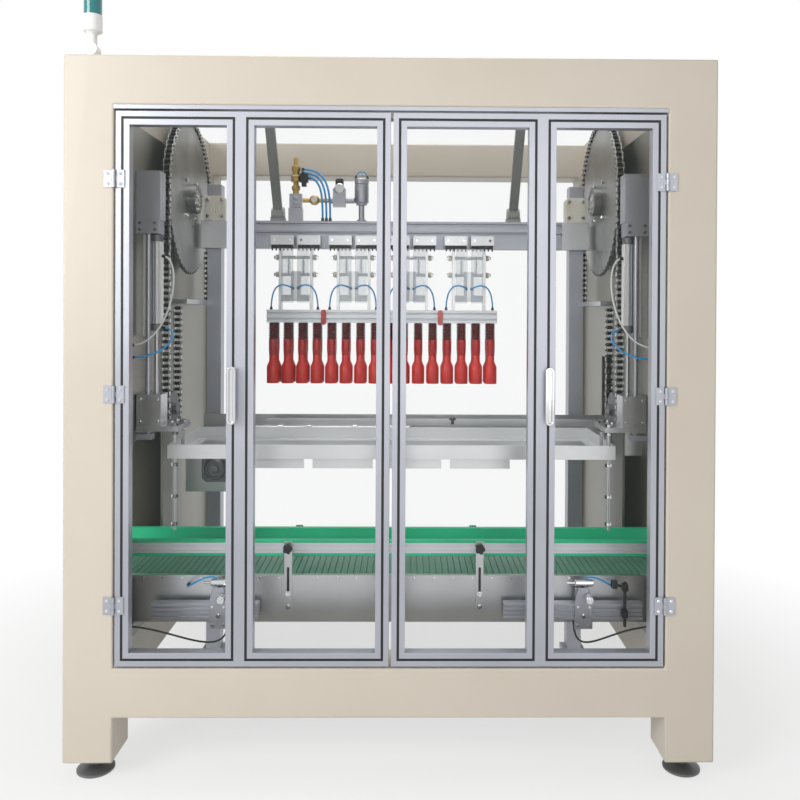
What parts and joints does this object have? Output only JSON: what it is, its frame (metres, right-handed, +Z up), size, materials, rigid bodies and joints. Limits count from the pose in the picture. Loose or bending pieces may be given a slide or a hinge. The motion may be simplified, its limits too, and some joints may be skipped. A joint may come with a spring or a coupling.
{
  "type": "automatic cartoner",
  "caption": "Automatic cartoner in a beige box frame with glazed aluminium doors, red bottle grippers on a lifting head, a bottle table and a carton conveyor.",
  "frame": {"origin": "bottom centre of the bounding box, on the floor", "axes": "+X along the conveyors to the right, +Y to the rear, +Z up"},
  "size_m": [2.3, 1.686, 2.903],
  "materials": {
    "beige_paint": "satin",
    "stainless": "brushed",
    "aluminium": "satin",
    "dark_steel": "satin",
    "chain_steel": "oiled",
    "white_plastic": "gloss",
    "green_lens": "gloss",
    "amber_lens": "gloss",
    "red_lens": "gloss",
    "belt_plastic": "matte",
    "green_plastic": "satin",
    "clear_glass": "clear",
    "chrome": "polished",
    "red_rubber": "satin",
    "brass": "satin",
    "grey_plastic": "satin",
    "blue_plastic": "gloss",
    "black_rubber": "matte"
  },
  "bodies": {
    "frame": {"front_columns": "beige_paint", "rear_columns": "beige_paint", "front_beams": "beige_paint", "rear_beams": "beige_paint", "side_rails": "beige_paint", "outer_panels": "beige_paint", "side_liners": "stainless", "levelling_feet": "dark_steel", "signal_stand": "white_plastic", "signal_green": "green_lens", "signal_amber": "amber_lens", "signal_red": "red_lens", "lift_columns": "aluminium", "sprockets": "dark_steel", "lift_chains": "chain_steel", "chain_shelves": "stainless", "lower_idlers": "dark_steel", "lift_cylinders": "aluminium", "carton_conveyor_frame": "stainless", "conveyor_saddles": "stainless", "carton_belt": "belt_plastic", "front_guide_rail": "green_plastic", "rear_guide_rail": "green_plastic", "guide_brackets": "stainless", "stop_units": "aluminium", "bottle_bed": "stainless", "bottle_pedestals": "stainless", "bottle_belt": "belt_plastic", "bottle_guides": "stainless", "door_header": "aluminium", "hinge_posts": "aluminium", "machine_hoses": "black_rubber"},
    "left_door": {"left_door_frame": "aluminium", "left_door_glass": "clear_glass", "left_door_handle": "chrome", "left_door_hinges": "aluminium"},
    "right_door": {"right_door_frame": "aluminium", "right_door_glass": "clear_glass", "right_door_handle": "chrome", "right_door_hinges": "aluminium"},
    "guide_frame": {"carton_guide_frame": "stainless", "funnel_flaps": "stainless", "hanger_rods": "stainless", "lift_carriages": "stainless"},
    "head": {"head_beam": "aluminium", "head_carriages": "stainless", "head_yoke": "dark_steel", "gripper_hangers": "stainless", "gripper_bars": "aluminium", "gripper_set_1": "red_rubber", "gripper_set_2": "red_rubber", "gripper_set_3": "red_rubber", "gripper_set_4": "red_rubber", "air_valve_post": "brass", "filter_regulator": "grey_plastic", "head_hoses": "blue_plastic"}
  },
  "joints": [
    {"name": "left_door_swing", "type": "hinge", "parent": "frame", "child": "left_door", "pos_m": [-0.971, -0.814, 1.365], "axis": [0, 0, -1], "range_deg": [0, 110]},
    {"name": "right_door_swing", "type": "hinge", "parent": "frame", "child": "right_door", "pos_m": [0.971, -0.814, 1.365], "axis": [0, 0, 1], "range_deg": [0, 110]},
    {"name": "guide_frame_lift", "type": "slide", "parent": "frame", "child": "guide_frame", "axis": [0, 0, 1], "range_m": [0, 0.08]},
    {"name": "head_lift", "type": "slide", "parent": "frame", "child": "head", "axis": [0, 0, 1], "range_m": [-0.12, 0.05]}
  ]
}
